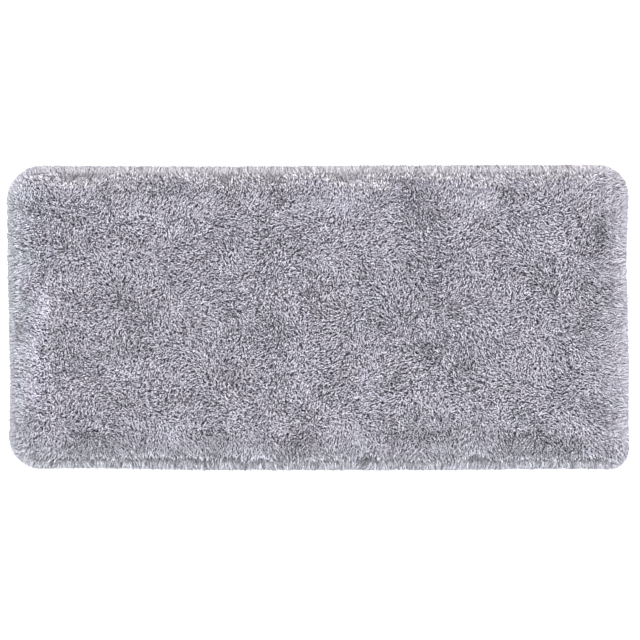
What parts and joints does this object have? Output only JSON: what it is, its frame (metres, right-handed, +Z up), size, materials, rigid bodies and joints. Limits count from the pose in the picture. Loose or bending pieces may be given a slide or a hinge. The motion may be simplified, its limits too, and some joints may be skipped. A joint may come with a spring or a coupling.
{
  "type": "shag rug",
  "caption": "Oblong shag rug lying flat, with rounded corners, a lumpy tufted top and a rim of yarn locks that droop to the floor.",
  "frame": {"origin": "middle of the rug's outline, on the floor that it lies on", "axes": "+X along the rug's length, +Y across its width, +Z up out of the pile"},
  "size_m": [1.22, 0.6, 0.0465],
  "materials": {
    "pile_yarn": "soft, matt twisted yarn in pale lavender grey, lighter at the tips than at the roots",
    "ground_cloth": "plain flat-woven cloth that the pile is tufted into, matt"
  },
  "bodies": {
    "root": {"shag_rug": "pile_yarn"}
  },
  "joints": []
}
